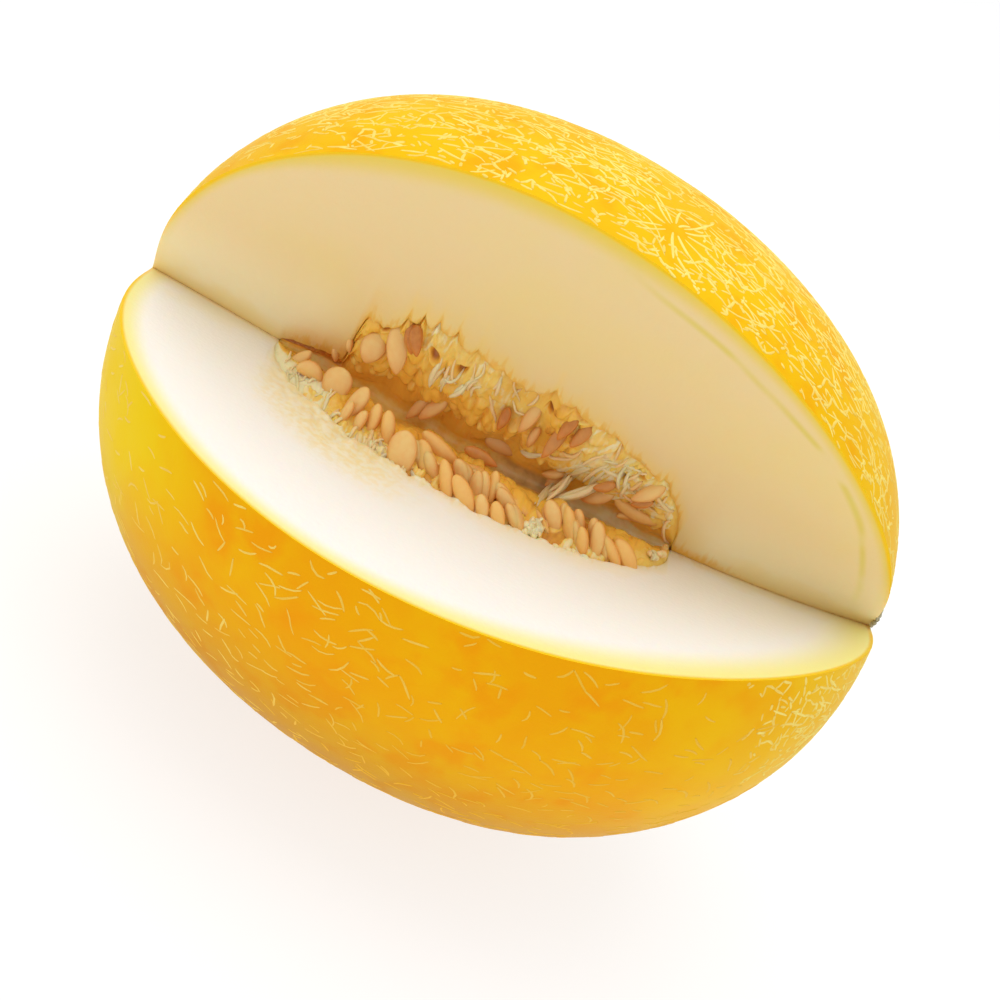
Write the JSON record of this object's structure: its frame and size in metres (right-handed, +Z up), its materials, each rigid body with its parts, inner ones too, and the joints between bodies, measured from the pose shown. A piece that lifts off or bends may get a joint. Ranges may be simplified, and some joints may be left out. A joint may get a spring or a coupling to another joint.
{
  "type": "cut melon",
  "caption": "Yellow melon lying on its side with a long wedge cut out, showing thick pale flesh and a hollow full of seeds.",
  "frame": {"origin": "on the surface that the fruit lies on, under the middle of its length and girth", "axes": "+X to the stem end, +Z up, -Y to the side that the cut opens to"},
  "size_m": [0.208, 0.1719, 0.1706],
  "materials": {
    "skin_and_flesh": "satin",
    "seeds_and_pulp": "moist"
  },
  "bodies": {
    "root": {"melon": "skin_and_flesh", "seed_bed": "seeds_and_pulp"}
  },
  "joints": []
}
